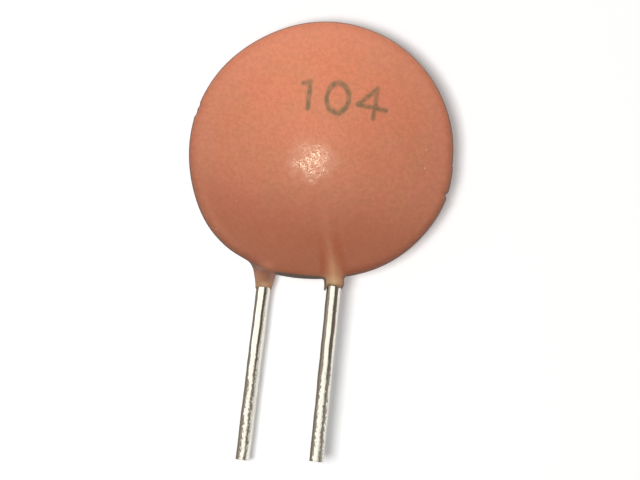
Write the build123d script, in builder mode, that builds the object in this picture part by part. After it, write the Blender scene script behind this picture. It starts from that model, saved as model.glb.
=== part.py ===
"""Ceramic disc capacitor with two straight radial leads, in millimetres.

The part lies on its back: marked face up (+Z), leads towards -Y, and the origin under the middle of
its bounding box. Inside the dipped coat a thin ceramic disc carries a fired silver electrode on each
face. One tinned wire is soldered to each electrode; the two wires lean inwards over the disc, pass
each other at its centre on opposite faces, and bend parallel where they leave its edge.
"""

from build123d import *

import os
from math import cos, exp, pi, radians, sin, sqrt

os.makedirs("parts", exist_ok=True)

# Ceramic disc and its electrodes
ceramic_dia = 8.4
ceramic_thick = 0.45
ceramic_edge_bevel = 0.06
electrode_margin = 0.35  # bare ceramic left outside each electrode
electrode_thick = 0.03

# Lead wires
wire_dia = 0.5
wire_pitch = 2.56  # between the wires at their bends
wire_shift = -0.27  # the pair sits to the left of the disc's centre
wire_splay = 0.6  # degrees that each free wire leans outwards
wire_lean = 14.0  # degrees that each buried wire leans inwards
wire_bend_clear = 0.45  # from the ceramic's edge out to the bend
wire_bend_radius = 1.0
wire_past_centre = 0.35  # each buried wire is this much longer than the way to the centre
wire_free = 6.87  # from the bend to the cut end of the longer, rear wire
front_wire_short = 0.3  # the front wire is cut this much shorter
wire_snip = 0.04  # bevel left by the cutters

# Solder joints
solder_film = 0.03  # under the wire
solder_cover = 0.09  # over the wire
solder_length = 3.0
solder_width = 1.5
solder_lap = 0.45  # past the wire's end
solder_slope = 43.0  # degrees that its flanks lean in from upright

# Dipped coat
coat_rim = 0.62  # outside the ceramic's edge
coat_face = 0.38  # over the ceramic at the rim
coat_crown = 0.375  # over the solder at the centre
coat_edge = 0.5  # how far in from the rim the edge is rounded
coat_peak = 0.3  # roundness of the dome's peak, as a share of its radius
coat_oval = 0.05  # the outline's long axis stands this far outside the mean circle
coat_oval_bearing = 41.0
coat_flat = 0.19  # the lower rim is flattened by this much
coat_flat_bearing = 278.0
coat_flat_spread = 25.0
coat_wire = 0.115  # over the wires, where they leave the disc
front_rundown = 0.12  # how far the coat runs down each wire past its bend
rear_rundown = 0.39
front_rundown_skin = 0.09  # what it thins to there
rear_rundown_skin = 0.04
front_blend = 0.15  # hollow where the dome meets the coat over each wire
rear_blend = 0.25

# Outlines that the coat is lofted through
outline_points = 18
edge_steps = 3
dome_steps = 10
dome_flat = 0.04  # flat left at the dome's peak, as a share of its radius

FRONT, REAR = 1, -1

# Levels and radii worked out from the sizes above
coat_radius = ceramic_dia / 2 + coat_rim
electrode_level = ceramic_thick / 2 + electrode_thick
wire_level = electrode_level + solder_film + wire_dia / 2
solder_top = wire_level + wire_dia / 2 + solder_cover
crown_level = solder_top + coat_crown
rim_level = ceramic_thick / 2 + coat_face
bend_reach = ceramic_dia / 2 + wire_bend_clear
mid = Plane(origin=(0, (bend_reach + wire_free - coat_radius) / 2, crown_level))


def rim_radius(bearing):
    """Radius of the coat's outline at a bearing in degrees: an oval with a flattened lower rim."""
    oval = coat_oval * cos(2 * radians(bearing - coat_oval_bearing))
    return coat_radius + oval - coat_flat * exp(-(((bearing - coat_flat_bearing) / coat_flat_spread) ** 2))


def dome_rise(share):
    """Rise of the dome at a share of the way in from the rim: straight flanks and a rounded peak."""
    foot = sqrt(1 + coat_peak**2)
    return (foot - sqrt((1 - share) ** 2 + coat_peak**2)) / (foot - coat_peak)


def coat_levels():
    """Size and height of each outline of one face, from the full rim up to the dome's small flat."""
    edge_share = coat_edge / coat_radius
    turns = [pi / 2 * step / edge_steps for step in range(edge_steps + 1)]
    levels = [(edge_share * (1 - cos(turn)), rim_level * sin(turn)) for turn in turns]
    for step in range(1, dome_steps + 1):
        levels.append((edge_share + (1 - dome_flat - edge_share) * step / dome_steps, rim_level))
    return [(1 - share, level + (crown_level - rim_level) * dome_rise(share)) for share, level in levels]


def wire_corners(side, free_length):
    """Corners of a wire's centreline: its cut end, its bend at the disc's edge and its soldered end."""
    level = mid.offset(side * wire_level)
    bend = Vector(wire_shift + side * wire_pitch / 2, -bend_reach)
    outwards = Vector(0, -1).rotate(Axis.Z, side * wire_splay)
    inwards = Vector(0, 1).rotate(Axis.Z, side * wire_lean)
    corners = (bend + outwards * free_length, bend, bend + inwards * (bend_reach + wire_past_centre))
    return [level.from_local_coords(corner) for corner in corners]


with BuildPart() as ceramic_disc:
    with BuildSketch(mid.offset(-ceramic_thick / 2)):
        Circle(ceramic_dia / 2)
    extrude(amount=ceramic_thick)
    chamfer(ceramic_disc.edges(), length=ceramic_edge_bevel)
ceramic_disc.part.label = "ceramic_disc"
export_step(ceramic_disc.part, "parts/ceramic_disc.step")

inner_pieces = [ceramic_disc.part]
for name, side, free_length in (("front", FRONT, wire_free - front_wire_short), ("rear", REAR, wire_free)):
    with BuildPart() as electrode:
        with BuildSketch(mid.offset(side * ceramic_thick / 2)):
            Circle(ceramic_dia / 2 - electrode_margin)
        extrude(amount=side * electrode_thick)
    electrode.part.label = f"{name}_electrode"
    export_step(electrode.part, f"parts/{name}_electrode.step")

    with BuildPart() as lead:
        with BuildLine() as route:
            FilletPolyline(*wire_corners(side, free_length), radius=wire_bend_radius)
        with BuildSketch(Plane(origin=route.line @ 0, z_dir=route.line % 0)):
            Circle(wire_dia / 2)
        sweep()
        chamfer(lead.faces().sort_by(Axis.Y)[0].edges(), length=wire_snip)
    lead.part.label = f"{name}_lead"
    export_step(lead.part, f"parts/{name}_lead.step")

    with BuildPart() as solder:
        bend, end = wire_corners(side, free_length)[1:]
        middle = mid.to_local_coords(end + (bend - end).normalized() * (solder_length / 2 - solder_lap))
        with BuildSketch(mid.offset(side * electrode_level)):
            with Locations((middle.X, middle.Y)):
                SlotOverall(solder_length, solder_width, rotation=90 + side * wire_lean)
        extrude(amount=side * (solder_top - electrode_level), taper=solder_slope)
        add(lead.part, mode=Mode.SUBTRACT)
    solder.part.label = f"{name}_solder"
    export_step(solder.part, f"parts/{name}_solder.step")
    inner_pieces += [electrode.part, lead.part, solder.part]

with BuildPart() as coating:
    face_levels = coat_levels()
    rear_levels = [(share, -level) for share, level in reversed(face_levels[1:])]
    bearings = [360 * step / outline_points for step in range(outline_points)]
    for share, level in rear_levels + face_levels:
        with BuildSketch(mid.offset(level)):
            with BuildLine():
                Spline([Vector(share * rim_radius(b), 0).rotate(Axis.Z, b) for b in bearings], periodic=True)
            make_face()
    loft()
    rundowns = (
        (FRONT, front_rundown, front_rundown_skin, front_blend),
        (REAR, rear_rundown, rear_rundown_skin, rear_blend),
    )
    for side, rundown, end_skin, blend in rundowns:
        with BuildLine() as ridge:
            FilletPolyline(*wire_corners(side, wire_free), radius=wire_bend_radius)
        buried = Wire(ridge.edges().sort_by(Axis.Y)[1:])
        start = Plane(origin=buried @ 0, z_dir=buried % 0)
        with BuildSketch(start):
            Circle(wire_dia / 2 + coat_wire)
        sweep(path=buried)
        fillet(coating.edges(Select.NEW).filter_by(GeomType.BSPLINE), radius=blend)
        for plane, skin in ((start, coat_wire), (start.offset(-rundown), end_skin)):
            with BuildSketch(plane):
                Circle(wire_dia / 2 + skin)
        loft()
    for piece in inner_pieces:
        add(piece, mode=Mode.SUBTRACT)
coating.part.label = "coating"
export_step(coating.part, "parts/coating.step")
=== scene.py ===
"""The looks of a ceramic disc capacitor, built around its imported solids.

A round ceramic chip with a silver electrode on each face is dipped in a salmon-brown resin. The
resin runs a little way down the two tinned wires, whose buried ends raise a low ridge on each
face. The coat and the wires are modelled here in full detail, in place of the plainer solids; the
ceramic, the electrodes and the solder keep their solids and get their finishes.

Sizes are in millimetres, measured from the middle of the ceramic disc: x to the right as the
marked face is read, y away from the wires and z out of the marked face. Blender's metres come in
only where a mesh, a lamp or the camera is placed.
"""

import logging
import math
from dataclasses import dataclass, field
from enum import Enum
from typing import Any, Callable

import bpy
import numpy as np
from mathutils import Matrix, Vector


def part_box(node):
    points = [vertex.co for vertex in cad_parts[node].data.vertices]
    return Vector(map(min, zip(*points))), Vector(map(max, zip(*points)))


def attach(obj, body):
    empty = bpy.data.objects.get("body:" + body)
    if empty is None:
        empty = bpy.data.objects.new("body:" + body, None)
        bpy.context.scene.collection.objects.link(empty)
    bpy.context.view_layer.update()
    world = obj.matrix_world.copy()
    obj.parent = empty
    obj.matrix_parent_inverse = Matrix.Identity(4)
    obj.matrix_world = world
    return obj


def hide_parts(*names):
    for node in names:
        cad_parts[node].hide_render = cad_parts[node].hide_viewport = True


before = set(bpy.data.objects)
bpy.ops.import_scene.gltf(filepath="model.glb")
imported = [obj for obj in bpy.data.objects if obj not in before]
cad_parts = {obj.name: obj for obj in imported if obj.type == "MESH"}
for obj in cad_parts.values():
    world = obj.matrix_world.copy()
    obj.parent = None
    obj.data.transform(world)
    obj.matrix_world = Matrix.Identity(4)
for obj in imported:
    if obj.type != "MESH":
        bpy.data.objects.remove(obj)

LOG = logging.getLogger("disc_capacitor")
MM = 0.001
BODY = "root"

Array = np.ndarray
Piece = bpy.types.Object
Material = bpy.types.Material
Socket = bpy.types.NodeSocket
Colour = tuple[float, float, float]
Span = tuple[float, float]  # where a smooth step begins and ends, or the least and the most of a value

MARKED_SIDE: Span = (0.2, 0.4)  # heights over which what is on the marked face alone comes in


class Face(Enum):
    """The two faces of the disc, by the side of its middle plane that they are on."""

    FRONT = 1
    REAR = -1

    @property
    def lead_node(self) -> str:
        """Name of the solid of the wire soldered to this face."""
        return f"{self.name.lower()}_lead"


class Slot(Enum):
    """Names of two of the record's material slots: the coat's and the tinned wire's."""

    COAT = "coat"
    WIRE = "tinned_wire"


# ---- Shader building ----


class Value:
    """A number that varies over a surface. Python's operators on it add Math nodes."""

    def __init__(self, bench: "Bench", socket: Socket) -> None:
        """Wraps an output socket of the bench's tree."""
        self.bench = bench
        self.socket = socket

    def maths(self, operation: str, *others: "Value | float", clamp: bool = False) -> "Value":
        """Adds one Math node with this value as its first input."""
        settings = {"operation": operation, "use_clamp": clamp}
        return self.bench.value("ShaderNodeMath", settings, dict(enumerate((self, *others))))

    def _swapped(self, operation: str, other: float) -> "Value":
        """Adds a Math node with a plain number before this value."""
        return self.bench.value("ShaderNodeMath", {"operation": operation}, {0: other, 1: self})

    def __add__(self, other: "Value | float") -> "Value":
        """Sum."""
        return self.maths("ADD", other)

    def __radd__(self, other: float) -> "Value":
        """Sum with a number first."""
        return self._swapped("ADD", other)

    def __sub__(self, other: "Value | float") -> "Value":
        """Difference."""
        return self.maths("SUBTRACT", other)

    def __rsub__(self, other: float) -> "Value":
        """Difference with a number first."""
        return self._swapped("SUBTRACT", other)

    def __mul__(self, other: "Value | float") -> "Value":
        """Product."""
        return self.maths("MULTIPLY", other)

    def __rmul__(self, other: float) -> "Value":
        """Product with a number first."""
        return self._swapped("MULTIPLY", other)

    def __truediv__(self, other: "Value | float") -> "Value":
        """Quotient."""
        return self.maths("DIVIDE", other)

    def __rtruediv__(self, other: float) -> "Value":
        """Quotient with a number first."""
        return self._swapped("DIVIDE", other)

    def __abs__(self) -> "Value":
        """Size without sign."""
        return self.maths("ABSOLUTE")

    def clipped(self) -> "Value":
        """The value kept between 0 and 1."""
        return self.maths("ADD", 0.0, clamp=True)

    def least(self, other: "Value | float") -> "Value":
        """The smaller of two values."""
        return self.maths("MINIMUM", other)

    def most(self, other: "Value | float") -> "Value":
        """The larger of two values."""
        return self.maths("MAXIMUM", other)

    def length(self, other: "Value") -> "Value":
        """Length of a line that runs this far one way and that far across it."""
        return (self * self + other * other).maths("SQRT")

    def between(self, low: float, high: float) -> "Value":
        """The value, which runs from 0 to 1, made to run from low to high."""
        return low + (high - low) * self

    def step(self, low: float, high: float) -> "Value":
        """A smooth step from 0 at low to 1 at high; from 1 to 0 where low is the larger."""
        share = ((self - low) / (high - low)).clipped()
        return share * share * (3.0 - 2.0 * share)


class Bench:
    """Adds nodes to one node tree."""

    def __init__(self, tree: bpy.types.NodeTree) -> None:
        """Clears the tree of a material or a world."""
        self.tree = tree
        tree.nodes.clear()

    def add(self, kind: str, settings: dict[str, Any], sockets: dict[Any, Any]) -> bpy.types.Node:
        """Adds one node: its settings first, then the values or links of its sockets.

        Args:
            kind: The node's type.
            settings: Its properties.
            sockets: Values or links by socket name or number.

        Returns:
            The node.
        """
        node = self.tree.nodes.new(kind)
        for name, setting in settings.items():
            setattr(node, name, setting)
        for key, given in sockets.items():
            source = given.socket if isinstance(given, Value) else given
            if isinstance(source, Socket):
                self.tree.links.new(source, node.inputs[key])
            elif isinstance(source, tuple) and node.inputs[key].type == "RGBA":
                node.inputs[key].default_value = (*source, 1.0)
            else:
                node.inputs[key].default_value = source
        return node

    def value(self, kind: str, settings: dict[str, Any], sockets: dict, output: Any = 0) -> Value:
        """Adds one node and takes a number from one of its outputs."""
        return Value(self, self.add(kind, settings, sockets).outputs[output])

    def shader(self, kind: str, sockets: dict[Any, Any]) -> Socket:
        """Adds one shader node and takes its result."""
        return self.add(kind, {}, sockets).outputs[0]

    def coordinate(self, name: str) -> Socket:
        """One output of the Texture Coordinate node."""
        return self.add("ShaderNodeTexCoord", {}, {}).outputs[name]

    def vector(self, operation: str, first: Any, second: Any) -> Socket:
        """Adds one Vector Math node with two inputs."""
        settings = {"operation": operation}
        return self.add("ShaderNodeVectorMath", settings, {0: first, 1: second}).outputs[0]

    def split(self, vector: Socket) -> tuple[Value, Value, Value]:
        """The three parts of a vector."""
        node = self.add("ShaderNodeSeparateXYZ", {}, {0: vector})
        return tuple(Value(self, output) for output in node.outputs)

    def mix(self, share: Value, first: Any, second: Any) -> Socket:
        """Mixes two colours, with this share of the second."""
        sockets = {0: share, 6: first, 7: second}
        return self.add("ShaderNodeMix", {"data_type": "RGBA"}, sockets).outputs[2]

    def bump(self, height: Value, strength: float = 1.0) -> Socket:
        """A normal tilted by a height in millimetres, with this share of the tilt."""
        sockets = {"Height": height, "Distance": MM, "Strength": strength}
        return self.add("ShaderNodeBump", {}, sockets).outputs[0]

    def end(self, shader: Socket, kind: str = "ShaderNodeOutputMaterial") -> None:
        """Ends a material, or a world, with its shader."""
        self.add(kind, {}, {"Surface": shader})


class Spot:
    """A place on a piece, in millimetres from a point, and the way that the surface faces there."""

    def __init__(self, bench: Bench, middle: Vector) -> None:
        """Measures the place.

        Args:
            bench: The bench of the piece's material.
            middle: The point, in metres.
        """
        self.bench = bench
        moved = bench.vector("SUBTRACT", bench.coordinate("Object"), tuple(middle))
        self.vector = bench.vector("MULTIPLY", moved, (1 / MM,) * 3)
        self.x, self.y, self.z = bench.split(self.vector)
        self.facing_x, _, self.facing_z = bench.split(bench.coordinate("Normal"))

    def noise(self, wave: float, detail: float = 2.0, rough: float = 0.5, squash: float = 1.0) -> Value:
        """Smooth noise between about 0.3 and 0.7.

        Args:
            wave: Size of its blotches in millimetres.
            detail: Number of finer octaves.
            rough: Strength of each octave as a share of the one before.
            squash: Share of the place along the wires; less than 1 draws the blotches out.

        Returns:
            The noise.
        """
        squashed = self.bench.vector("MULTIPLY", self.vector, (1.0, squash, 1.0))
        sockets = {"Vector": squashed, "Scale": 1 / wave, "Detail": detail, "Roughness": rough}
        return self.bench.value("ShaderNodeTexNoise", {"noise_dimensions": "3D"}, sockets, "Fac")

    def cells(self, spacing: float) -> Value:
        """Distance to the nearest of scattered points, as a share of their spacing in millimetres."""
        sockets = {"Vector": self.vector, "Scale": 1 / spacing}
        return self.bench.value("ShaderNodeTexVoronoi", {}, sockets, "Distance")


@dataclass(frozen=True)
class Blotches:
    """Noise sharpened to blotches: their size, their finer octaves and where they come in."""

    wave: float
    detail: float
    rough: float
    span: Span

    def at(self, spot: Spot) -> Value:
        """How much of a blotch is at a place, from 0 to 1."""
        return spot.noise(self.wave, self.detail, self.rough).step(*self.span)


@dataclass(frozen=True)
class Tone:
    """A colour, and how much of it is laid over the colours below it."""

    colour: Colour
    share: float

    def over(self, base: Any, where: Value) -> Socket:
        """Lays the tone over a colour where the value, from 0 to 1, says."""
        return where.bench.mix(where * self.share, base, self.colour)


def new_material(name: str, dress: Callable[[Bench], None]) -> Material:
    """Makes a node material.

    Args:
        name: Its name.
        dress: Adds its nodes.

    Returns:
        The material.
    """
    material = bpy.data.materials.new(name)
    material.use_nodes = True
    dress(Bench(material.node_tree))
    return material


# ---- Printed value ----


@dataclass(frozen=True)
class Stroke:
    """A straight stroke between two points of the disc, seen from its marked side."""

    start: tuple[float, float]
    end: tuple[float, float]

    def distance(self, spot: Spot) -> Value:
        """Distance from the stroke's centreline.

        Args:
            spot: Place on the coat.

        Returns:
            The distance in millimetres.
        """
        run_x, run_y = self.end[0] - self.start[0], self.end[1] - self.start[1]
        off_x, off_y = spot.x - self.start[0], spot.y - self.start[1]
        along = ((off_x * run_x + off_y * run_y) / (run_x**2 + run_y**2)).clipped()
        return (off_x - along * run_x).length(off_y - along * run_y)


@dataclass(frozen=True)
class Ring:
    """An oval stroke of a printed digit."""

    middle: tuple[float, float]
    half_width: float
    half_height: float

    def distance(self, spot: Spot) -> Value:
        """Distance from the oval's line, near enough for a narrow stroke.

        Args:
            spot: Place on the coat.

        Returns:
            The distance in millimetres.
        """
        wide = (spot.x - self.middle[0]) / self.half_width
        tall = (spot.y - self.middle[1]) / self.half_height
        return abs(wide.length(tall) - 1.0) * self.half_width


@dataclass(frozen=True)
class PrintedValue:
    """The value code on the marked face, 104: ten with four noughts, in picofarads."""

    strokes: tuple[Stroke | Ring, ...] = (
        Stroke((-0.90, 2.42), (-0.67, 2.52)),
        Stroke((-0.67, 2.52), (-0.66, 1.54)),
        Ring((0.385, 2.025), 0.40, 0.54),
        Stroke((1.80, 2.52), (1.13, 1.87)),
        Stroke((1.13, 1.87), (2.165, 1.75)),
        Stroke((1.80, 2.52), (1.745, 1.44)),
    )
    half_stroke: float = 0.084
    edge: float = 0.055
    bleed: float = 0.19
    bleed_share: float = 0.25
    wander: float = 0.08
    wander_wave: float = 0.16
    fading: Blotches = Blotches(0.24, 3.0, 0.6, (0.42, 0.60))
    faintest: float = 0.66
    ink: Colour = (0.200, 0.112, 0.050)

    def mask(self, spot: Spot) -> Value:
        """Where the ink lies and how strongly.

        Args:
            spot: Place on the coat.

        Returns:
            The ink's strength, from 0 to 1.
        """
        near = self.strokes[0].distance(spot)
        for stroke in self.strokes[1:]:
            near = near.least(stroke.distance(spot))
        near = near + (spot.noise(self.wander_wave) - 0.5) * self.wander
        inked = near.step(self.half_stroke + self.edge, self.half_stroke - self.edge)
        faded = self.fading.at(spot).between(self.faintest, 1.0)
        bled = near.step(self.bleed, 0.0) * self.bleed_share
        return (inked * faded).most(bled) * spot.z.step(*MARKED_SIDE)


# ---- Finishes ----


@dataclass(frozen=True)
class CoatFinish:
    """Waxy dipped resin: mottled salmon brown, with a fine orange-peel grain."""

    middle: Vector
    resin: Colour = (0.600, 0.175, 0.086)
    ochre: Tone = Tone((0.538, 0.196, 0.090), 0.75)
    ochre_in: Blotches = Blotches(1.1, 3.0, 0.6, (0.42, 0.66))
    rose: Tone = Tone((0.630, 0.160, 0.103), 0.5)
    rose_in: Blotches = Blotches(0.55, 2.0, 0.5, (0.5, 0.7))
    # Painted reflection: a paler, greyer tone towards the rim, in place of the sheen that the
    # surroundings lay there.
    rim: Tone = Tone((0.600, 0.206, 0.117), 0.8)
    rim_from: Span = (3.2, 4.7)
    umber: Colour = (0.360, 0.110, 0.060)
    umber_shares: Span = (0.055, 0.135)
    # Painted sheen: pale blotches at random, in place of the fine glints of the grain.
    painted_sheen: Tone = Tone((0.800, 0.275, 0.145), 0.33)
    painted_sheen_in: Blotches = Blotches(0.17, 3.0, 0.7, (0.32, 0.68))
    fleck: Tone = Tone((0.900, 0.560, 0.380), 0.5)
    fleck_spacing: float = 0.95
    fleck_size: Span = (0.048, 0.020)
    # Painted shade: darker towards the bottom of the marked face, where the light falls off, fading out
    # at the rim.
    painted_low_shade: Tone = Tone((0.455, 0.098, 0.040), 0.62)
    painted_low_shade_tilt: float = 0.08
    painted_low_shade_from: Span = (-0.7, -3.2)
    painted_low_shade_rim: Span = (4.80, 4.30)
    # Paler thinned resin down the wires, partly its own colour and partly painted light: a painted
    # highlight on the front sleeve and painted light on the rear sleeve, which lies in shade. The front
    # sleeve's right side keeps less of it, as painted shade.
    thin_and_lit: Tone = Tone((0.760, 0.500, 0.260), 0.75)
    front_thin_and_lit: Span = (4.30, 4.80)
    front_shaded_side: Span = (1.05, 1.30)
    front_shaded_side_loss: float = 0.6
    rear_thin_and_lit: Span = (4.55, 5.20)
    thin_and_lit_raggedness: float = 0.08
    rear_to_front: Span = (-0.5, 0.3)
    # Painted highlight: a golden streak down the front wire's ridge towards its exit.
    ridge_highlight: Tone = Tone(thin_and_lit.colour, 0.40)
    ridge_highlight_from: Span = (-3.3, -4.6)
    ridge: Stroke = Stroke((0.82, -3.5), (1.07, -4.9))
    ridge_highlight_width: Span = (0.48, 0.06)
    # Painted light: a pale patch where the lens meets the rear wire, lifting the shade of its slope.
    bridge_light: Tone = Tone((1.000, 0.440, 0.270), 0.35)
    bridge_light_at: tuple[float, float] = (-1.57, -4.66)
    bridge_light_to: Span = (0.60, 0.25)
    # Painted shade: a dark grey-brown on the rim's upright side, in a line along the bottom rim between
    # the wires and in a line beside the drip.
    painted_shade: Tone = Tone((0.165, 0.148, 0.118), 0.85)
    painted_shade_lines: tuple[tuple[Stroke, Span], ...] = (
        (Stroke((0.675, -4.66), (0.655, -5.02)), (0.060, 0.030)),
        (Stroke((-1.12, -4.58), (0.62, -4.59)), (0.120, 0.040)),
    )
    painted_light_above: Span = (0.15, 0.50)
    painted_shade_on_rim: float = 0.60
    painted_shade_on_slope: Span = (0.68, 0.20)
    painted_shade_raggedness: float = 0.1
    painted_shade_off_bridge_light: float = 0.7
    rubbed_at: tuple[float, float] = (-0.28, -0.36)
    rubbed_to: Span = (1.12, 0.35)
    rubbed_squash: float = 1.1
    rubbed_wave: float = 0.4
    grain: Blotches = Blotches(0.075, 2.0, 0.6, (0.3, 0.7))
    roughness: Span = (0.45, 0.59)
    roughness_wave: float = 0.5
    gloss: Span = (0.18, 0.30)
    gloss_in: Blotches = Blotches(0.22, 2.0, 0.5, (0.40, 0.62))
    peel_wave: float = 0.11
    peel_height: Span = (0.005, 0.008)
    pebble_spacing: float = 0.085
    pebble_height: float = 0.006
    swell_wave: float = 0.8
    swell_height: float = 0.012
    pore_spacing: float = 0.42
    pore_size: Span = (0.16, 0.05)
    pore_height: float = 0.003
    printed: PrintedValue = PrintedValue()

    def dress(self, bench: Bench) -> None:
        """Adds the finish's nodes.

        Args:
            bench: The bench of the material.
        """
        spot = Spot(bench, self.middle)
        grain = self.grain.at(spot)
        rubbed = self.rubbed(spot)
        matte = spot.noise(self.roughness_wave, detail=3.0, rough=0.6).between(*self.roughness)
        glossy = self.gloss_in.at(spot).between(*self.gloss)
        sockets = {
            "Base Color": self.colour(spot, grain),
            "Roughness": matte - glossy * rubbed,
            "Normal": bench.bump(self.height(spot, rubbed)),
        }
        resin = bench.shader("ShaderNodeBsdfPrincipled", sockets)
        # Painted shade: a dark diffuse mixed onto the rim's upright side.
        painted_shade = bench.shader("ShaderNodeBsdfDiffuse", {"Color": self.painted_shade.colour})
        bench.end(bench.shader("ShaderNodeMixShader", {0: self.painted_rim_shade(spot, grain), 1: resin, 2: painted_shade}))

    def colour(self, spot: Spot, grain: Value) -> Socket:
        """Colour with its blotches, painted reflection paler towards the rim, painted sheen, painted
        shade darker towards the bottom, paler thinned run-downs with painted light, and its ink.

        Args:
            spot: Place on the coat.
            grain: The resin's fine grain, from 0 to 1.

        Returns:
            The colour.
        """
        away = spot.x.length(spot.y)
        base = self.ochre.over(self.resin, self.ochre_in.at(spot))
        base = self.rose.over(base, self.rose_in.at(spot))
        # Painted reflection, paler towards the rim.
        base = self.rim.over(base, away.step(*self.rim_from))
        base = spot.bench.mix(grain.between(*self.umber_shares), base, self.umber)
        # Painted sheen in pale random blotches.
        base = self.painted_sheen.over(base, self.painted_sheen_in.at(spot))
        base = self.fleck.over(base, spot.cells(self.fleck_spacing).step(*self.fleck_size))
        # Painted shade, darker towards the bottom.
        low = (spot.y + self.painted_low_shade_tilt * spot.x).step(*self.painted_low_shade_from)
        base = self.painted_low_shade.over(base, low * away.step(*self.painted_low_shade_rim))
        base = self._over_wires(base, spot, grain)
        return spot.bench.mix(self.printed.mask(spot), base, self.printed.ink)

    def _over_wires(self, base: Socket, spot: Spot, grain: Value) -> Socket:
        """Lays the paler thinned resin over the wires, with its painted light, a painted highlight down
        the front ridge, painted light where the lens meets the rear wire, and painted shade lines, over a
        colour.

        Args:
            base: The colour.
            spot: Place on the coat.
            grain: The resin's fine grain, from 0 to 1.

        Returns:
            The colour with the thinned resin and the painted light and shade.
        """
        above = spot.z.step(*self.painted_light_above)
        # Painted highlight down the front wire's ridge.
        on_ridge_highlight = self.ridge.distance(spot).step(*self.ridge_highlight_width) * spot.y.step(*self.ridge_highlight_from)
        base = self.ridge_highlight.over(base, on_ridge_highlight * above)
        # Painted light where the lens meets the rear wire.
        base = self.bridge_light.over(base, self.painted_bridge_light(spot))
        # Paler thinned resin down the sleeves, partly painted highlight and painted light; less of it on
        # the front sleeve's right side, as painted shade.
        down = (grain - 0.5) * self.thin_and_lit_raggedness - spot.y
        at_front = spot.x.step(*self.rear_to_front)
        unshaded_side = 1.0 - self.front_shaded_side_loss * spot.x.step(*self.front_shaded_side)
        front = down.step(*self.front_thin_and_lit) * unshaded_side
        rear = down.step(*self.rear_thin_and_lit)
        base = self.thin_and_lit.over(base, front * at_front + rear * (1.0 - at_front))
        # Painted shade lines beside the drip and along the bottom rim.
        for line, width in self.painted_shade_lines:
            base = self.painted_shade.over(base, line.distance(spot).step(*width) * above)
        return base

    def painted_bridge_light(self, spot: Spot) -> Value:
        """Where the resin bridges from the lens to the rear wire: painted light, pale, that lifts the
        shade there, with less painted shade.
        """
        return (spot.x - self.bridge_light_at[0]).length(spot.y - self.bridge_light_at[1]).step(*self.bridge_light_to)

    def rubbed(self, spot: Spot) -> Value:
        """Where the marked face's crown is rubbed glossy.

        Args:
            spot: Place on the coat.

        Returns:
            How glossy it is, from 0 to 1.
        """
        away = (spot.x - self.rubbed_at[0]).length(spot.y * self.rubbed_squash - self.rubbed_at[1])
        ragged = away + (spot.noise(self.rubbed_wave) - 0.5)
        return ragged.step(*self.rubbed_to) * spot.z.step(*MARKED_SIDE)

    def painted_rim_shade(self, spot: Spot, grain: Value) -> Value:
        """Where painted shade darkens the upright side of the rim, by how far the surface there turns
        away from up.

        Args:
            spot: Place on the coat.
            grain: The resin's fine grain, from 0 to 1.

        Returns:
            How much of it there is, from 0 to 1.
        """
        level = abs(spot.facing_z) + (grain - 0.5) * self.painted_shade_raggedness
        on_rim = level.step(*self.painted_shade_on_slope) * self.painted_shade_on_rim
        return on_rim * (1.0 - self.painted_shade_off_bridge_light * self.painted_bridge_light(spot))

    def height(self, spot: Spot, rubbed: Value) -> Value:
        """Height of the orange peel, the rubbed patch's pebbles, the soft swell and the pores.

        Args:
            spot: Place on the coat.
            rubbed: Where the crown is rubbed glossy.

        Returns:
            The height in millimetres.
        """
        peel = spot.noise(self.peel_wave, detail=1.0) * rubbed.between(*self.peel_height)
        pebble = spot.cells(self.pebble_spacing)
        swell = spot.noise(self.swell_wave) * self.swell_height
        pores = spot.cells(self.pore_spacing).step(*self.pore_size) * self.pore_height
        return peel - pebble * pebble * (self.pebble_height * rubbed) + swell + pores


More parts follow.
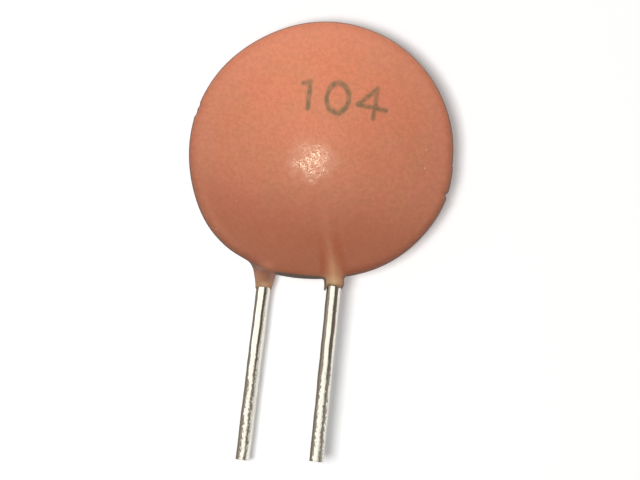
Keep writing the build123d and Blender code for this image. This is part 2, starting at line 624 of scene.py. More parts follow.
@dataclass(frozen=True)
class WireFinish:
    """Tinned wire: bright ivory metal with drawn lines, scuffs and darkened worn spots, and painted dark
    reflections, a brown stripe and a dark flank, set by the way the surface faces.

    Sways, worn and scuff_height go from the clean wire at the coat to the handled wire at its end.
    """

    middle: Vector
    # Painted dark reflections, set by the way the surface faces: the first span and the drift place a
    # dark flank, the last two a brown stripe.
    painted_dark_flank: Span
    painted_dark_flank_drift: float
    reflection_stripe_in: Span
    reflection_stripe_out: Span
    tin: Colour = (0.860, 0.840, 0.770)
    grazing: Colour = (0.550, 0.520, 0.470)
    dull: Tone = Tone((0.420, 0.390, 0.330), 0.30)
    dull_lines: Span = (0.52, 0.75)
    # Painted dark reflection: a brown stripe where the surface faces a little to one side.
    brown: Tone = Tone((0.130, 0.098, 0.070), 0.95)
    reflection_stripe_loss: float = 0.15
    # Darkens real worn spots, and also paints the dark reflection on the flank.
    tarnish_and_dark_reflection: Colour = (0.130, 0.100, 0.070)
    painted_dark_flank_share: float = 0.9
    worn_share: float = 0.7
    worn_scuffs: Span = (0.60, 0.72)
    worn_patches: Span = (0.40, 0.60)
    worn: Span = (0.25, 1.0)
    handled: Span = (-7.0, -9.0)
    scuff_sway: Span = (0.15, 1.15)
    patch_sway: Span = (0.3, 0.6)
    line_wave: float = 0.05
    line_squash: float = 0.08
    line_height: float = 0.008
    line_roughness: float = 0.10
    scuff_wave: float = 0.055
    scuff_squash: float = 0.45
    scuff_height: Span = (0.006, 0.022)
    patch_wave: float = 0.9
    patch_height: float = 0.040
    roughness: float = 0.16
    worn_roughness: float = 0.25
    tilt: float = 0.6

    def dress(self, bench: Bench) -> None:
        """Adds the finish's nodes.

        Args:
            bench: The bench of the material.
        """
        spot = Spot(bench, self.middle)
        lines = spot.noise(self.line_wave, detail=3.0, rough=0.6, squash=self.line_squash)
        scuffs = spot.noise(self.scuff_wave, detail=3.0, rough=0.7, squash=self.scuff_squash)
        patches = spot.noise(self.patch_wave)
        handled = spot.y.step(*self.handled)
        worn = scuffs.step(*self.worn_scuffs) * patches.step(*self.worn_patches)
        worn = worn * handled.between(*self.worn)
        facing = spot.facing_x + (scuffs - 0.5) * handled.between(*self.scuff_sway)
        facing = facing + (patches - 0.5) * handled.between(*self.patch_sway)
        # Painted dark reflections: the flank and the stripe follow the way the surface faces.
        painted_dark_flank = (facing + self.painted_dark_flank_drift * handled).step(*self.painted_dark_flank)
        reflection_stripe = facing.step(*self.reflection_stripe_in) * facing.step(*self.reflection_stripe_out)
        base = self.dull.over(self.tin, lines.step(*self.dull_lines))
        base = self.brown.over(base, reflection_stripe * (1.0 - self.reflection_stripe_loss * handled))
        base = bench.mix((worn * self.worn_share).most(painted_dark_flank * self.painted_dark_flank_share), base, self.tarnish_and_dark_reflection)
        height = lines * self.line_height + scuffs * handled.between(*self.scuff_height)
        sockets = {
            "Base Color": base,
            "Metallic": 1.0,
            "Specular Tint": self.grazing,
            "Roughness": self.roughness + self.line_roughness * lines + self.worn_roughness * worn,
            "Normal": bench.bump(height + patches * self.patch_height, self.tilt),
        }
        bench.end(bench.shader("ShaderNodeBsdfPrincipled", sockets))


@dataclass(frozen=True)
class CeramicFinish:
    """Fired titanate ceramic: pale grey-brown and finely speckled."""

    middle: Vector
    body: Colour = (0.520, 0.440, 0.340)
    speck: Colour = (0.330, 0.265, 0.190)
    speck_wave: float = 0.06
    speck_in: Span = (0.5, 0.72)
    speck_height: float = 0.012
    roughness: Span = (0.62, 0.82)
    roughness_wave: float = 0.4
    tilt: float = 0.6

    def dress(self, bench: Bench) -> None:
        """Adds the finish's nodes.

        Args:
            bench: The bench of the material.
        """
        spot = Spot(bench, self.middle)
        specks = spot.noise(self.speck_wave, detail=3.0, rough=0.7)
        sockets = {
            "Base Color": bench.mix(specks.step(*self.speck_in), self.body, self.speck),
            "Roughness": spot.noise(self.roughness_wave).between(*self.roughness),
            "Normal": bench.bump(specks * self.speck_height, self.tilt),
        }
        bench.end(bench.shader("ShaderNodeBsdfPrincipled", sockets))


@dataclass(frozen=True)
class MetalFinish:
    """A plain metal with soft blotches: the fired silver and the solder."""

    middle: Vector
    bright: Colour
    dull: Colour
    roughness: float
    wave: float
    dull_in: Span = (0.4, 0.65)
    uneven_roughness: float = 0.25
    height: float = 0.02
    tilt: float = 0.5

    def dress(self, bench: Bench) -> None:
        """Adds the finish's nodes.

        Args:
            bench: The bench of the material.
        """
        blotches = Spot(bench, self.middle).noise(self.wave, detail=3.0, rough=0.6)
        sockets = {
            "Base Color": bench.mix(blotches.step(*self.dull_in), self.bright, self.dull),
            "Metallic": 1.0,
            "Roughness": self.roughness + self.uneven_roughness * (blotches - 0.5),
            "Normal": bench.bump(blotches * self.height, self.tilt),
        }
        bench.end(bench.shader("ShaderNodeBsdfPrincipled", sockets))


# ---- Shapes ----


def smooth_step(values: Array, low: Array | float, high: Array | float) -> Array:
    """A smooth step from 0 at low to 1 at high."""
    share = np.clip((values - low) / (high - low), 0, 1)
    return share * share * (3 - 2 * share)


def smooth_union(first: Array, second: Array, width: Array | float) -> Array:
    """Union of two signed distances with a hollow of this width where they meet."""
    share = np.maximum(width - np.abs(first - second), 0) / width
    return np.minimum(first, second) - share**2 * width / 4


def unit(run: Array) -> Array:
    """A run, or each row of several, at a length of 1."""
    return run / np.maximum(np.linalg.norm(run, axis=-1, keepdims=True), 1e-9)


def nearest(points: Array, line: Array) -> tuple[Array, Array]:
    """Distance to a line of straight runs, and the nearest place on it.

    Args:
        points: Places, one in each row.
        line: The line's corners, one in each row.

    Returns:
        One distance and one place on the line for each point.
    """
    near = np.full(len(points), np.inf)
    foot = np.zeros(points.shape)
    for start, end in zip(line[:-1], line[1:]):
        run = end - start
        share = np.clip((points - start) @ run / (run @ run), 0, 1)
        spot = start + share[:, None] * run
        gap = np.linalg.norm(points - spot, axis=1)
        closer = gap < near
        near[closer] = gap[closer]
        foot[closer] = spot[closer]
    return near, foot


@dataclass
class Waviness:
    """Gentle unevenness: a few crossed plane waves with seeded directions."""

    seed: int
    shortest: float
    longest: float
    count: int = 14
    waves: Array = field(init=False)
    phases: Array = field(init=False)

    def __post_init__(self) -> None:
        """Draws the waves."""
        rng = np.random.default_rng(self.seed)
        turns = unit(rng.normal(size=(self.count, 3)))
        lengths = rng.uniform(self.shortest, self.longest, size=(self.count, 1))
        self.waves = turns * 2 * math.pi / lengths
        self.phases = rng.uniform(0, 2 * math.pi, size=self.count)

    def at(self, points: Array) -> Array:
        """Height of the waves at each place, about -1 to 1.

        Args:
            points: Places, one in each row.

        Returns:
            One height for each place.
        """
        total = np.zeros(len(points))
        for wave, phase in zip(self.waves, self.phases):
            total += np.sin(points @ wave + phase)
        return total / math.sqrt(2 * self.count)


@dataclass
class WireRoute:
    """Centreline of one wire: free and straight, a soft bend, then straight to its soldered end."""

    face: Face
    level: float
    cut_reach: float
    pitch: float = 2.56
    shift: float = -0.27
    splay: float = 0.6
    lean: float = 14.0
    bend_reach: float = 4.65
    bend_radius: float = 1.0
    past_centre: float = 0.35

    def corners(self) -> tuple[Array, Array, Array]:
        """Works out the ends and the bend's sharp corner.

        Returns:
            The cut end, the corner and the soldered end.
        """
        side = self.face.value
        bend = np.array([self.shift + side * self.pitch / 2, -self.bend_reach, side * self.level])
        outwards = self._heading(180 + side * self.splay)
        inwards = self._heading(side * self.lean)
        free = (self.cut_reach - self.bend_reach) / math.cos(math.radians(self.splay))
        return bend + outwards * free, bend, bend + inwards * (self.bend_reach + self.past_centre)

    @staticmethod
    def _heading(bearing: float) -> Array:
        """A flat direction turned by this many degrees anticlockwise from y."""
        turn = math.radians(bearing)
        return np.array([-math.sin(turn), math.cos(turn), 0.0])

    def bent(self, step: float) -> Array:
        """Rounds the bend, with one straight run on each side of it.

        Args:
            step: About how far apart the bend's points are.

        Returns:
            The cut end, the bend's points and the soldered end, one in each row.
        """
        cut, bend, end = self.corners()
        down, up = unit(cut - bend), unit(end - bend)
        angle = math.pi - math.acos(float(down @ up))
        tangent = self.bend_radius * math.tan(angle / 2)
        middle = bend + unit(down + up) * math.hypot(self.bend_radius, tangent)
        start, stop = bend + down * tangent - middle, bend + up * tangent - middle
        turns = np.linspace(0, 1, max(3, round(angle * self.bend_radius / step) + 1))[:, None]
        arc = np.sin((1 - turns) * angle) * start + np.sin(turns * angle) * stop
        return np.vstack([cut, middle + arc / math.sin(angle), end])

    def points(self, step: float) -> Array:
        """Evenly spaced points along the centreline, from the cut end to the soldered end.

        Args:
            step: About how far apart they are.

        Returns:
            The points, one in each row.
        """
        cut, *arc, end = self.bent(step)
        return np.vstack([self._run(cut, arc[0], step)[:-1], arc, self._run(arc[-1], end, step)[1:]])

    @staticmethod
    def _run(start: Array, end: Array, step: float) -> Array:
        """Evenly spaced points on a straight run, about this far apart."""
        shares = np.linspace(0, 1, max(2, round(float(np.linalg.norm(end - start)) / step) + 1))
        return start + shares[:, None] * (end - start)


@dataclass
class Sleeve:
    """The coat over one wire: a tube that thins down the free wire to a ragged end."""

    route: WireRoute
    wire_radius: float
    run_end: float
    end_skin: float
    left_blend: float
    right_blend: float
    over_blend: float
    over_rise: Span = (0.1, 0.5)
    over_width: Span = (0.2, 0.4)
    blend_band: float = 0.3
    ridge_blend: float = 0.30
    ridge_from: Span = (-4.45, -3.7)
    ridge_sink: float = 0.075
    skin: float = 0.115
    taper_from: float = 4.70
    short_on_top: float = 0.12
    lip: float = 0.05
    reach: float = 1.3
    bend_step: float = 0.06

    def distance(self, points: Array, ragged: Array) -> Array:
        """Signed distance from the sleeve's skin.

        Args:
            points: Places, one in each row.
            ragged: How much further the sleeve runs at each place.

        Returns:
            One distance for each place, below zero inside.
        """
        near, foot = nearest(points, self.route.bent(self.bend_step))
        up = (points[:, 2] - foot[:, 2]) / np.maximum(near, 1e-6)
        reach = -foot[:, 1]
        end = self.run_end + ragged - self.short_on_top * np.clip(up, 0, 1)
        skin = self.skin + (self.end_skin - self.skin) * smooth_step(reach, self.taper_from, end)
        skin -= self.ridge_sink * smooth_step(-reach, *self.ridge_from)
        skin -= (self.end_skin + self.lip) * smooth_step(reach, end, end + self.lip)
        return np.maximum(near - self.wire_radius - skin, reach - end - 2 * self.lip)

    def is_near(self, points: Array) -> Array:
        """Which places are near enough to the sleeve for it to matter.

        Args:
            points: Places, one in each row.

        Returns:
            True for each near place.
        """
        bend, end = self.route.corners()[1:]
        low = np.minimum(bend, end) - self.reach
        high = np.maximum(bend, end) + self.reach
        return np.all((points > low) & (points < high), axis=1)

    def blend(self, points: Array) -> Array:
        """Width of the hollow where the sleeve meets the lens: left, right, over it and up its ridge.

        Args:
            points: Places, one in each row.

        Returns:
            One width for each place.
        """
        axis, _, level = self.route.corners()[1]
        off = points[:, 0] - axis
        right = smooth_step(off, -self.blend_band, self.blend_band)
        sides = self.left_blend + (self.right_blend - self.left_blend) * right
        over = smooth_step(points[:, 2] - level, *self.over_rise)
        over *= 1 - smooth_step(np.abs(off), *self.over_width)
        hollow = sides + (self.over_blend - sides) * over
        return hollow + (self.ridge_blend - hollow) * smooth_step(points[:, 1], *self.ridge_from)


@dataclass(frozen=True)
class Drip:
    """A round run of resin between two points."""

    start: tuple[float, float, float] = (0.715, -4.45, 0.535)
    end: tuple[float, float, float] = (0.690, -4.985, 0.535)
    radius: float = 0.042
    blend: float = 0.05

    def distance(self, points: Array) -> Array:
        """Signed distance of each place from the drip's skin."""
        return nearest(points, np.array([self.start, self.end]))[0] - self.radius


@dataclass
class LensShape:
    """The dipped lens: domed faces with a soft peak, and a rounded rim.

    Each dent of the outline has a bearing in degrees, a spread in degrees and a depth.
    """

    radius: float = 4.82
    edge: float = 0.5
    edge_power: float = 4.6
    rim_level: float = 0.605
    crown_level: float = 1.25
    peak: float = 0.3
    oval: float = 0.05
    oval_bearing: float = 41.0
    flat: tuple[float, float, float] = (278.0, 25.0, 0.19)
    dents: tuple[tuple[float, float, float], ...] = (
        (165.2, 1.1, 0.035),
        (168.6, 1.6, 0.030),
        (170.9, 0.6, -0.020),
        (347.6, 0.9, 0.075),
        (124.0, 22.0, 0.040),
        (220.0, 13.0, -0.060),
        (242.0, 7.0, 0.060),
        (342.5, 18.0, -0.085),
    )
    edge_points: int = 60
    dome_points: int = 139
    table_step: float = 0.02
    table_margin: float = 1.2
    table: Array = field(init=False)

    def __post_init__(self) -> None:
        """Works out the table of distances from the lens's half section."""
        section = self.section()
        radii = np.arange(0, self.radius + self.table_margin, self.table_step)
        levels = np.arange(0, self.crown_level + self.table_margin, self.table_step)
        grid = np.stack(np.meshgrid(radii, levels, indexing="ij"), axis=-1).reshape(-1, 2)
        near = nearest(grid, section)[0]
        top = np.interp(grid[:, 0], section[:, 0], section[:, 1], right=-1.0)
        self.table = np.where(grid[:, 1] < top, -near, near).reshape(len(radii), len(levels))

    def section(self) -> Array:
        """Works out the half section from the crown out to the rim.

        Returns:
            Radius and height of each point, one point in each row.
        """
        foot = math.sqrt(1 + self.peak**2)
        edge_share = self.edge / self.radius
        turns = np.linspace(math.pi / 2, 0, self.edge_points)
        out, up = (np.clip(part(turns), 0, 1) ** (2 / self.edge_power) for part in (np.cos, np.sin))
        dome = np.linspace(1, edge_share, self.dome_points + 1)[:-1]
        shares = np.concatenate([dome, edge_share * (1 - out)])
        heights = self.rim_level * np.concatenate([np.ones(self.dome_points), up])
        rise = (foot - np.sqrt((1 - shares) ** 2 + self.peak**2)) / (foot - self.peak)
        heights = heights + (self.crown_level - self.rim_level) * rise
        return np.stack([(1 - shares) * self.radius, heights], axis=1)

    def outline(self, bearings: Array) -> Array:
        """Radius of the rim at bearings in degrees, with its oval, its flat and its small dents.

        Args:
            bearings: Degrees anticlockwise from x.

        Returns:
            One radius for each bearing.
        """
        radii = self.radius + self.oval * np.cos(2 * np.radians(bearings - self.oval_bearing))
        for bearing, spread, depth in (self.flat, *self.dents):
            radii = radii - depth * np.exp(-(((bearings - bearing) / spread) ** 2))
        return radii

    def distance(self, points: Array) -> Array:
        """Signed distance from the lens, read from the table.

        Args:
            points: Places, one in each row.

        Returns:
            One distance for each place, below zero inside.
        """
        bearings = np.degrees(np.arctan2(points[:, 1], points[:, 0])) % 360
        scale = self.radius / self.outline(bearings)
        across = np.hypot(points[:, 0], points[:, 1]) * scale / self.table_step
        up = np.abs(points[:, 2]) / self.table_step
        column = np.clip(across.astype(int), 0, self.table.shape[0] - 2)
        row = np.clip(up.astype(int), 0, self.table.shape[1] - 2)
        a, b = across - column, up - row
        low = self.table[column, row] * (1 - a) + self.table[column + 1, row] * a
        high = self.table[column, row + 1] * (1 - a) + self.table[column + 1, row + 1] * a
        return low * (1 - b) + high * b


class SurfaceNet:
    """Turns a signed distance into an even mesh of four-sided faces."""

    settle_rounds = 2
    nudge_share = 1 / 8
    least_slope = 0.2

    def __init__(self, distance: Callable[[Array], Array], low: Array, high: Array, voxel: float) -> None:
        """Samples the distance on a grid.

        Args:
            distance: Gives one distance for each place.
            low: The grid's lowest corner.
            high: Its highest corner.
            voxel: Its spacing.
        """
        self.distance = distance
        self.low = low
        self.voxel = voxel
        self.count = np.ceil((high - low) / voxel).astype(int) + 1
        axes = [low[i] + voxel * np.arange(self.count[i]) for i in range(3)]
        layers = []
        for x in axes[0]:
            y, z = np.meshgrid(axes[1], axes[2], indexing="ij")
            layer = np.stack([np.full(y.size, x), y.ravel(), z.ravel()], axis=1)
            layers.append(distance(layer).reshape(y.shape))
        self.samples = np.stack(layers)

    def mesh(self, rounds: int) -> tuple[Array, Array]:
        """Makes the mesh and eases it onto the surface.

        Args:
            rounds: How many times it is evened out and put back on the surface.

        Returns:
            The vertices and the faces.
        """
        inside = self.samples < 0
        cells = self.count - 1
        held = np.zeros(tuple(cells), np.int8)
        for corner in np.ndindex(2, 2, 2):
            held += inside[tuple(slice(low, low + cell) for low, cell in zip(corner, cells))]
        active = (held > 0) & (held < 8)
        number = np.full(tuple(cells), -1, np.int64)
        number[active] = np.arange(int(active.sum()))
        vertices = self.low + (np.argwhere(active) + 0.5) * self.voxel
        faces = np.concatenate([self._faces(inside, number, axis) for axis in range(3)])
        for _ in range(rounds):
            vertices = self._settle(self._evened(vertices, faces))
        return self._settle(vertices), faces

    @staticmethod
    def _faces(inside: Array, number: Array, axis: int) -> Array:
        """Faces across the grid lines of one direction.

        Args:
            inside: Which samples are inside.
            number: The vertex of each cell.
            axis: The direction of the grid lines.

        Returns:
            The faces, four vertices in each row.
        """
        first, second = [other for other in range(3) if other != axis]
        changed = np.argwhere(np.diff(inside, axis=axis))
        steps = np.zeros((4, 3), int)
        steps[[1, 2], first] = -1
        steps[[2, 3], second] = -1
        faces = np.stack([number[tuple((changed + step).T)] for step in steps], axis=1)
        turned = inside[tuple(changed.T)] ^ (axis == 1)
        faces[~turned] = faces[~turned][:, ::-1]
        return faces

    @staticmethod
    def _evened(vertices: Array, faces: Array) -> Array:
        """Moves each vertex half way to the middle of its neighbours.

        Args:
            vertices: The vertices.
            faces: The faces.

        Returns:
            The moved vertices.
        """
        starts, ends = faces.ravel(), np.roll(faces, -1, axis=1).ravel()
        count, total = np.zeros(len(vertices)), np.zeros(vertices.shape)
        for here, there in ((starts, ends), (ends, starts)):
            count += np.bincount(here, minlength=len(vertices))
            for i in range(3):
                total[:, i] += np.bincount(here, vertices[there, i], len(vertices))
        return (vertices + total / count[:, None]) / 2

    def _settle(self, vertices: Array) -> Array:
        """Moves vertices along the slope of the distance onto the surface.

        Args:
            vertices: The vertices.

        Returns:
            The moved vertices.
        """
        nudge = self.voxel * self.nudge_share
        ways = nudge * np.eye(3)
        for _ in range(self.settle_rounds):
            here = self.distance(vertices)
            rises = [self.distance(vertices + way) - self.distance(vertices - way) for way in ways]
            slope = np.stack(rises, axis=1) / (2 * nudge)
            step = here[:, None] * slope / np.maximum((slope**2).sum(1, keepdims=True), self.least_slope)
            vertices = vertices - np.clip(step, -self.voxel, self.voxel)
        return vertices


def new_piece(name: str, vertices: Array, faces: Array | list, middle: Vector) -> Piece:
    """Makes a smooth mesh object from millimetre places.

    Args:
        name: The piece's name.
        vertices: Places from the disc's middle, one in each row.
        faces: The faces' vertices.
        middle: The disc's middle, in metres.

    Returns:
        The object.
    """
    mesh = bpy.data.meshes.new(name)
    corners = (vertices * MM + np.array(middle)).tolist()
    mesh.from_pydata(corners, [], [list(map(int, face)) for face in faces])
    mesh.validate()
    mesh.shade_smooth()
    piece = bpy.data.objects.new(name, mesh)
    bpy.context.scene.collection.objects.link(piece)
    return piece


def fit_out(piece: Piece, material: Material, node: str) -> None:
    """Dresses a piece and ties it to the frame.

    Args:
        piece: The piece.
        material: Its material.
        node: The solid that it stands for.
    """
    piece.data.materials.append(material)
    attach(piece, BODY)
    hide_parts(node)
    LOG.info("%s: %d vertices, %d faces", piece.name, len(piece.data.vertices), len(piece.data.polygons))


# ---- Sub-assemblies ----


@dataclass
class Chip:
    """The ceramic disc with its electrodes and solder, which keep their solids."""

    middle: Vector

    def finishes(self) -> dict[str, CeramicFinish | MetalFinish]:
        """Picks the finishes.

        Returns:
            The finish of each solid, by node.
        """
        silver = MetalFinish(self.middle, (0.86, 0.85, 0.82), (0.66, 0.65, 0.62), 0.48, 0.5)
        solder = MetalFinish(self.middle, (0.66, 0.66, 0.65), (0.42, 0.42, 0.42), 0.36, 0.3)
        return {
            "ceramic_disc": CeramicFinish(self.middle),
            "front_electrode": silver,
            "rear_electrode": silver,
            "front_solder": solder,
            "rear_solder": solder,
        }

    def dress(self) -> None:
        """Gives each solid its material."""
        for name, finish in self.finishes().items():
            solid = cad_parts[name]
            material = new_material(f"{name}_finish", finish.dress)
            solid.data.materials.clear()
            solid.data.materials.append(material)
            LOG.info("%s: dressed", name)


@dataclass
class Lead:
    """One tinned wire, slightly uneven under its tin, with a snipped end."""

    face: Face
    middle: Vector
    route: WireRoute
    radius: float
    tin: float = 0.012
    around: int = 48
    step: float = 0.06
    unevenness: float = 0.006
    shortest_wave: float = 0.5
    longest_wave: float = 1.6
    seed: int = 7
    bevel: float = 0.022
    bevel_rings: int = 4

    def build(self, material: Material) -> Piece:
        """Builds and dresses the wire.

        Args:
            material: The tinned wire's material.

        Returns:
            The wire.
        """
        line, radii = self._rings()
        turns = np.linspace(0, 2 * math.pi, self.around, endpoint=False)
        up = np.array([0.0, 0.0, 1.0])
        rings = []
        for spot, heading, radius in zip(line, unit(np.gradient(line, axis=0)), radii):
            side = np.cross(heading, up)
            rings.append(spot + radius * (np.outer(np.cos(turns), side) + np.outer(np.sin(turns), up)))
        skin = np.concatenate(rings)
        waves = Waviness(self.seed + self.face.value, self.shortest_wave, self.longest_wave)
        outward = unit(skin - np.repeat(line, self.around, axis=0))
        skin = skin + outward * (waves.at(skin) * self.unevenness)[:, None]
        vertices = np.vstack([skin, line[0], line[-1]])
        piece = new_piece(f"{self.face.name.lower()}_wire", vertices, self._faces(len(line)), self.middle)
        fit_out(piece, material, self.face.lead_node)
        return piece

    def _rings(self) -> tuple[Array, Array]:
        """Lays out the rings, from the snipped end's bevel to the soldered end.

        Returns:
            The rings' centres, one in each row, and their radii.
        """
        line = self.route.points(self.step)
        turns = np.linspace(0, math.pi / 2, self.bevel_rings)
        bevel = line[0] + np.outer(self.bevel * (1 - np.cos(turns)), unit(line[1] - line[0]))
        radius = self.radius + self.tin
        bevel_radii = radius - self.bevel * (1 - np.sin(turns))
        body = line[np.linalg.norm(line - line[0], axis=1) > self.bevel]
        return np.vstack([bevel, body]), np.concatenate([bevel_radii, np.full(len(body), radius)])

    def _faces(self, rings: int) -> list[tuple[int, ...]]:
        """Faces between the rings and over both ends.

        Args:
            rings: Number of rings.

        Returns:
            The faces' vertices.
        """
        n = self.around
        last = (rings - 1) * n
        faces: list[tuple[int, ...]] = []
        for start in range(0, last, n):
            for k in range(n):
                a, b = start + k, start + (k + 1) % n
                faces.append((a, b, b + n, a + n))
        faces += [((k + 1) % n, k, rings * n) for k in range(n)]
        faces += [(last + k, last + (k + 1) % n, rings * n + 1) for k in range(n)]
        return faces


@dataclass
class DippedCoat:
    """The coat: one seamless skin over the lens and down both wires."""

    middle: Vector
    lens: LensShape
    sleeves: tuple[Sleeve, Sleeve]
    drip: Drip = Drip()
    unevenness: float = 0.007
    raggedness: float = 0.035
    voxel: float = 0.06
    rounds: int = 6
    side_margin: float = 0.2
    top_margin: float = 0.15
    low_margin: float = 0.3
    waves: Waviness = field(init=False)
    rags: Waviness = field(init=False)

    def __post_init__(self) -> None:
        """Draws the unevenness of the skin and the raggedness of the sleeves' ends."""
        self.waves = Waviness(seed=3, shortest=1.1, longest=3.2)
        self.rags = Waviness(seed=11, shortest=0.25, longest=0.6)

    def distance(self, points: Array) -> Array:
        """Signed distance from the coat's skin.

        Args:
            points: Places, one in each row.

        Returns:
            One distance for each place, below zero inside.
        """
        skin = self.lens.distance(points)
        for sleeve in self.sleeves:
            near = sleeve.is_near(points)
            ragged = self.rags.at(points[near]) * self.raggedness
            tube = sleeve.distance(points[near], ragged)
            skin[near] = smooth_union(skin[near], tube, sleeve.blend(points[near]))
        skin = smooth_union(skin, self.drip.distance(points), self.drip.blend)
        return skin - self.unevenness * self.waves.at(points)

    def build(self, material: Material) -> Piece:
        """Builds and dresses the coat.

        Args:
            material: The resin's material.

        Returns:
            The coat.
        """
        side = self.lens.radius + self.lens.oval + self.side_margin
        top = self.lens.crown_level + self.top_margin
        lowest = max(sleeve.run_end for sleeve in self.sleeves) + self.low_margin
        low, high = np.array([-side, -lowest, -top]), np.array([side, side, top])
        vertices, faces = SurfaceNet(self.distance, low, high, self.voxel).mesh(self.rounds)
        piece = new_piece("coat", vertices, faces, self.middle)
        fit_out(piece, material, "coating")
        return piece


class Target(Enum):
    """What a lamp shines on."""

    PART = "part"
    COAT = "coat"
    WIRES = "wires"
    FLOOR = "floor"


@dataclass(frozen=True)
class Lamp:
    """A square lamp that faces the disc's middle.

    Bearings are in degrees anticlockwise from the right of the view, heights in degrees above the
    floor, distances and sides in millimetres. A level of 1 is white paper's.
    """

    name: str
    target: Target
    bearing: float
    height: float
    away: float
    side: float
    level: float
    tint: Colour = (1.0, 1.0, 1.0)
    in_gloss: bool = True
    in_matte: bool = True
    casts_shadow: bool = True

    def build(self, middle: Vector, roll: float, pieces: dict[Target, list[Piece]]) -> None:
        """Adds the lamp.

        Args:
            middle: The disc's middle, in metres.
            roll: Degrees that the view is turned by.
            pieces: The coat, the wires and the floor, so that each lamp skips what it isn't for.
        """
        data = bpy.data.lights.new(self.name, "AREA")
        data.shape, data.size, data.color = "SQUARE", self.side * MM, self.tint
        data.energy = self.level * math.pi * (self.side * MM) ** 2
        data.use_shadow = self.casts_shadow
        lamp = bpy.data.objects.new(self.name, data)
        turn, rise = math.radians(self.bearing + roll), math.radians(self.height)
        out = math.cos(rise)
        heading = Vector((math.cos(turn) * out, math.sin(turn) * out, math.sin(rise)))
        facing = heading.to_track_quat("Z", "Y").to_matrix().to_4x4()
        lamp.matrix_world = Matrix.Translation(middle + heading * self.away * MM) @ facing
        lamp.visible_camera = False
        lamp.visible_glossy, lamp.visible_diffuse = self.in_gloss, self.in_matte
        lamp.light_linking.receiver_collection = self._skipped(pieces)
        bpy.context.scene.collection.objects.link(lamp)

    def _skipped(self, pieces: dict[Target, list[Piece]]) -> bpy.types.Collection:
        """Lists the pieces that the lamp doesn't shine on.

        Args:
            pieces: The coat, the wires and the floor.

        Returns:
            The list, as a collection that leaves its objects out.
        """
        skipped = bpy.data.collections.new(f"{self.name}_skips")
        for target, members in pieces.items():
            if target is self.target or (self.target is Target.PART and target is not Target.FLOOR):
                continue
            for piece in members:
                skipped.objects.link(piece)
        for member in skipped.collection_objects:
            member.light_linking.link_state = "EXCLUDE"
        return skipped


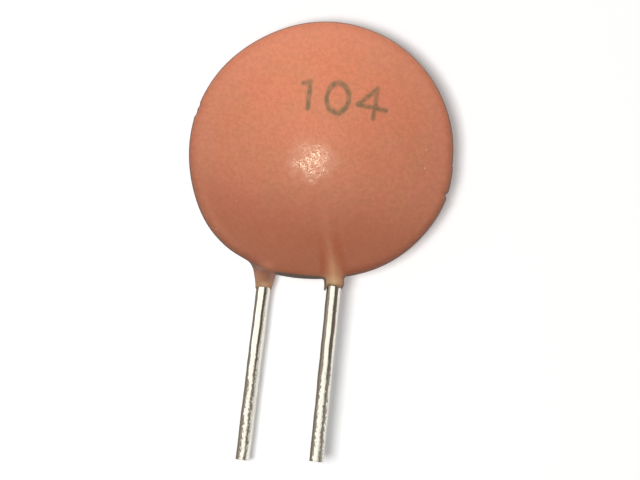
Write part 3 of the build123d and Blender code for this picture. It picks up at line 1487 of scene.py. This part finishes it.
@dataclass
class Studio:
    """Camera, lamps, world and floor."""

    middle: Vector
    aim: tuple[float, float] = (0.314, -3.175)
    roll: float = 6.37
    distance: float = 130.2
    lens: float = 200.0
    sensor: float = 36.0
    sight: Span = (1.0, 2000.0)
    floor_size: float = 400.0
    paper: float = 0.8
    lift: float = 0.285
    sky: Colour = (0.14, 0.136, 0.128)
    below: Colour = (0.06, 0.058, 0.055)
    horizon: Span = (-0.1, 0.1)
    backdrop_to: Span = (0.45, 0.25)
    white: Colour = (1.0, 1.0, 1.0)
    lamps: tuple[Lamp, ...] = (
        Lamp("key", Target.PART, 101.0, 65.0, 19.0, 10.0, 10.5, in_gloss=False, casts_shadow=False),
        Lamp("card", Target.WIRES, 180.0, 56.0, 100.0, 230.0, 1.1, (1.0, 0.985, 0.93), in_matte=False),
        Lamp("side_card", Target.WIRES, 0.0, 38.0, 100.0, 110.0, 0.58, (1.0, 0.96, 0.91), in_matte=False),
        Lamp("sheen", Target.COAT, 216.0, 82.7, 200.0, 24.0, 80.0, (1.0, 1.0, 0.74), in_matte=False),
        Lamp("veil", Target.COAT, 340.0, 82.0, 200.0, 24.0, 22.0, (1.0, 1.0, 0.85), in_matte=False),
        Lamp("sun", Target.FLOOR, 197.0, 78.0, 200.0, 52.0, 38.4, in_gloss=False),
    )

    def build(self, pieces: dict[Target, list[Piece]]) -> None:
        """Sets up the studio.

        Args:
            pieces: The coat and the wires.
        """
        self._camera()
        pieces = pieces | {Target.FLOOR: [self._floor()]}
        self._world()
        for lamp in self.lamps:
            lamp.build(self.middle, self.roll, pieces)
        bpy.context.scene.view_settings.view_transform = "Standard"
        LOG.info("studio: %d lamps", len(self.lamps))

    def _camera(self) -> None:
        """Camera straight above the marked face, turned as the part lies in the view."""
        data = bpy.data.cameras.new("camera")
        data.lens, data.sensor_width = self.lens, self.sensor
        data.clip_start, data.clip_end = self.sight[0] * MM, self.sight[1] * MM
        camera = bpy.data.objects.new("camera", data)
        place = self.middle + Vector((*self.aim, self.distance)) * MM
        camera.matrix_world = Matrix.Translation(place) @ Matrix.Rotation(math.radians(self.roll), 4, "Z")
        bpy.context.scene.collection.objects.link(camera)
        bpy.context.scene.camera = camera

    def _floor(self) -> Piece:
        """Lays the white floor, which keeps the part's soft shadow.

        Returns:
            The floor.
        """
        half = self.floor_size / 2 * MM
        corners = [(-half, -half, 0), (half, -half, 0), (half, half, 0), (-half, half, 0)]
        mesh = bpy.data.meshes.new("floor")
        mesh.from_pydata(corners, [], [(0, 1, 2, 3)])
        floor = bpy.data.objects.new("floor", mesh)
        bpy.context.scene.collection.objects.link(floor)
        mesh.materials.append(new_material("floor_finish", self._dress_floor))
        return floor

    def _dress_floor(self, bench: Bench) -> None:
        """Adds the floor's nodes: white paper, lifted to the background's white where it is seen.

        Args:
            bench: The bench of the material.
        """
        paper = bench.shader("ShaderNodeBsdfDiffuse", {"Color": (self.paper,) * 3})
        lift = {"Color": self.white, "Strength": self._seen(bench) * self.lift}
        glow = bench.shader("ShaderNodeEmission", lift)
        bench.end(bench.shader("ShaderNodeAddShader", {0: paper, 1: glow}))

    @staticmethod
    def _seen(bench: Bench) -> Value:
        """Finds rays that come from the camera, straight or by way of gloss or glass.

        Args:
            bench: The bench of the tree.

        Returns:
            One for such a ray, and nought for any other.
        """
        path = bench.add("ShaderNodeLightPath", {}, {})
        names = ("Is Camera Ray", "Is Glossy Ray", "Is Transmission Ray")
        camera, glossy, through = (Value(bench, path.outputs[name]) for name in names)
        return camera.most(glossy).most(through)

    def _world(self) -> None:
        """A plain, dim surround, with white behind the part where the camera looks past it.

        Gloss and glass show that white only near the horizon, so it lays no glare on the part.
        """
        world = bpy.data.worlds.new("surround")
        bpy.context.scene.world = world
        world.use_nodes = True
        bench = Bench(world.node_tree)
        height = bench.split(bench.coordinate("Generated"))[2]
        around = bench.mix(height.step(*self.horizon), self.below, self.sky)
        straight = bench.value("ShaderNodeLightPath", {}, {}, "Is Camera Ray")
        backdrop = self._seen(bench) * height.step(*self.backdrop_to)
        shown = bench.mix(straight.most(backdrop), around, self.white)
        bench.end(bench.shader("ShaderNodeBackground", {"Color": shown}), "ShaderNodeOutputWorld")


def node_middle(node: str) -> Vector:
    """Middle of a solid's box, in metres."""
    low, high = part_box(node)
    return (low + high) / 2


def main() -> None:
    """Builds the pieces, dresses the solids and sets up the studio."""
    logging.basicConfig(level=logging.INFO, format="%(name)s %(message)s")
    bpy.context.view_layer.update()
    middle = node_middle("ceramic_disc")

    leads = []
    for face in Face:
        low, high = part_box(face.lead_node)
        level = abs((low.z + high.z) / 2 - middle.z) / MM
        route = WireRoute(face, level, (middle.y - low.y) / MM)
        leads.append(Lead(face, middle, route, radius=(high.z - low.z) / 2 / MM))

    Chip(middle).dress()
    # Each wire's spans place its painted dark reflections: the flank and the brown stripe.
    finishes = (
        WireFinish(
            middle,
            painted_dark_flank=(-0.37, -0.50),
            painted_dark_flank_drift=0.06,
            reflection_stripe_in=(0.16, 0.23),
            reflection_stripe_out=(0.74, 0.62),
        ),
        WireFinish(
            middle,
            painted_dark_flank=(-0.58, -0.72),
            painted_dark_flank_drift=-0.20,
            reflection_stripe_in=(0.05, 0.12),
            reflection_stripe_out=(0.50, 0.39),
        ),
    )
    wires = []
    for lead, finish in zip(leads, finishes):
        wires.append(lead.build(new_material(f"{lead.face.lead_node}_finish", finish.dress)))

    front, rear = leads
    radius = front.radius  # both wires have it
    sleeves = (
        Sleeve(
            front.route,
            radius,
            run_end=4.88,
            end_skin=0.07,
            left_blend=0.16,
            right_blend=0.18,
            over_blend=0.13,
        ),
        Sleeve(
            rear.route,
            radius,
            run_end=5.22,
            end_skin=0.045,
            left_blend=0.60,
            right_blend=0.16,
            over_blend=0.60,
        ),
    )
    coat_material = new_material("coat_finish", CoatFinish(middle).dress)
    coat = DippedCoat(middle, LensShape(), sleeves).build(coat_material)
    Studio(middle).build({Target.COAT: [coat], Target.WIRES: wires})


if __name__ == "__main__":
    main()
